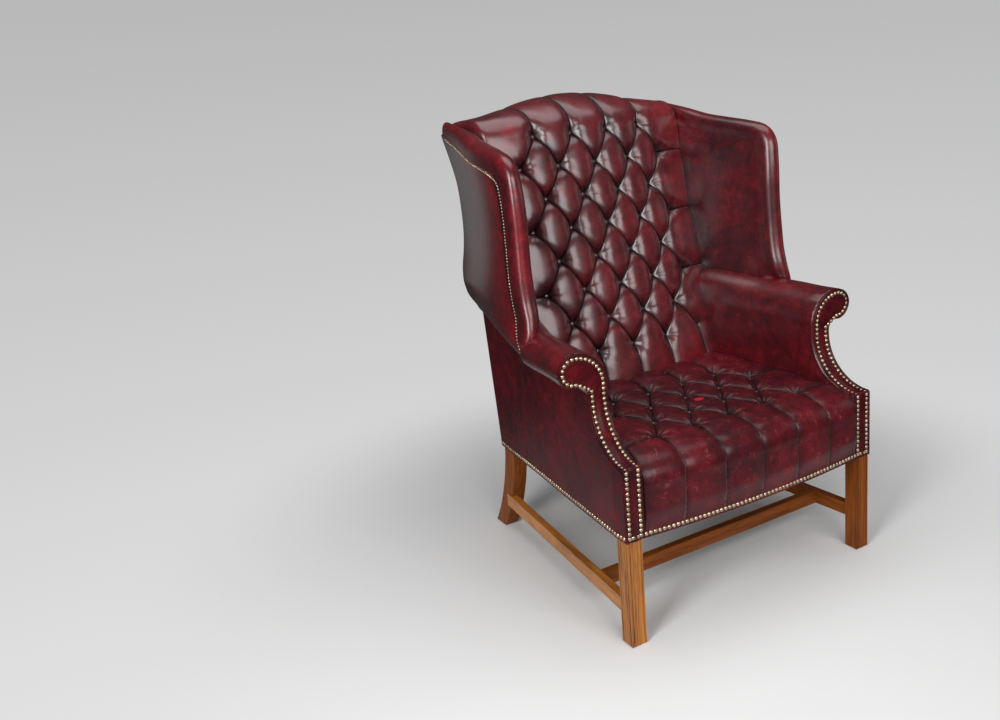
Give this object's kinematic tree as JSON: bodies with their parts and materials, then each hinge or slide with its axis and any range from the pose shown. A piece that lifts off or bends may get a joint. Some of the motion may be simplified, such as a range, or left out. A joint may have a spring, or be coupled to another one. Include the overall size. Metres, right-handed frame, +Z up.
{
  "type": "wing armchair",
  "caption": "Deep-buttoned wing armchair with rolled arms, nailed edges and square stretchered legs, for seating one person.",
  "frame": {"origin": "centre of the chair's outer box, at floor level", "axes": "+Z up, the chair faces -Y, +X to the right as seen from the front"},
  "size_m": [0.849, 0.8233, 1.1363],
  "materials": {
    "leather": "antiqued oxblood leather, rubbed almost black in the hollows, soft shine",
    "polished_oak": "waxed and worn, orange-brown",
    "frame_beech": "plain sawn, hidden",
    "brass_nail": "antiqued brass, tarnished round the rim",
    "jute_webbing": "woven jute, hidden",
    "canvas": "plain black lining cloth",
    "stuffing": "hair and fibre, hidden",
    "steel_glide": "domed nail glide"
  },
  "bodies": {
    "root": {"arm_facing_left": "leather", "arm_facing_right": "leather", "arm_rail_left": "frame_beech", "arm_rail_right": "frame_beech", "arm_roll_left": "leather", "arm_roll_right": "leather", "arm_stump_left": "frame_beech", "arm_stump_right": "frame_beech", "back_buttons": "leather", "back_cushion": "leather", "back_leg_left": "polished_oak", "back_leg_right": "polished_oak", "back_post_left": "frame_beech", "back_post_right": "frame_beech", "back_seat_rail": "frame_beech", "back_stuffing": "stuffing", "back_tacking_rail": "frame_beech", "back_webbing": "jute_webbing", "corner_blocks": "frame_beech", "crest_rail": "frame_beech", "cross_stretcher": "polished_oak", "dust_cover": "canvas", "facing_nails_left": "brass_nail", "facing_nails_right": "brass_nail", "foot_glides": "steel_glide", "front_leg_left": "polished_oak", "front_leg_right": "polished_oak", "front_rail_nails": "brass_nail", "front_seat_rail": "frame_beech", "inside_arm_left": "leather", "inside_arm_right": "leather", "inside_wing_left": "leather", "inside_wing_right": "leather", "outside_arm_left": "leather", "outside_arm_right": "leather", "outside_back": "leather", "outside_wing_left": "leather", "outside_wing_right": "leather", "seat_buttons": "leather", "seat_canvas": "canvas", "seat_cushion": "leather", "seat_webbing_crosswise": "jute_webbing", "seat_webbing_lengthwise": "jute_webbing", "side_rail_nails_left": "brass_nail", "side_rail_nails_right": "brass_nail", "side_seat_rail_left": "frame_beech", "side_seat_rail_right": "frame_beech", "side_stretcher_left": "polished_oak", "side_stretcher_right": "polished_oak", "wing_nails_left": "brass_nail", "wing_nails_right": "brass_nail", "wing_post_left": "frame_beech", "wing_post_right": "frame_beech", "wing_roll_left": "leather", "wing_roll_right": "leather", "wing_top_rail_left": "frame_beech", "wing_top_rail_right": "frame_beech"}
  },
  "joints": []
}
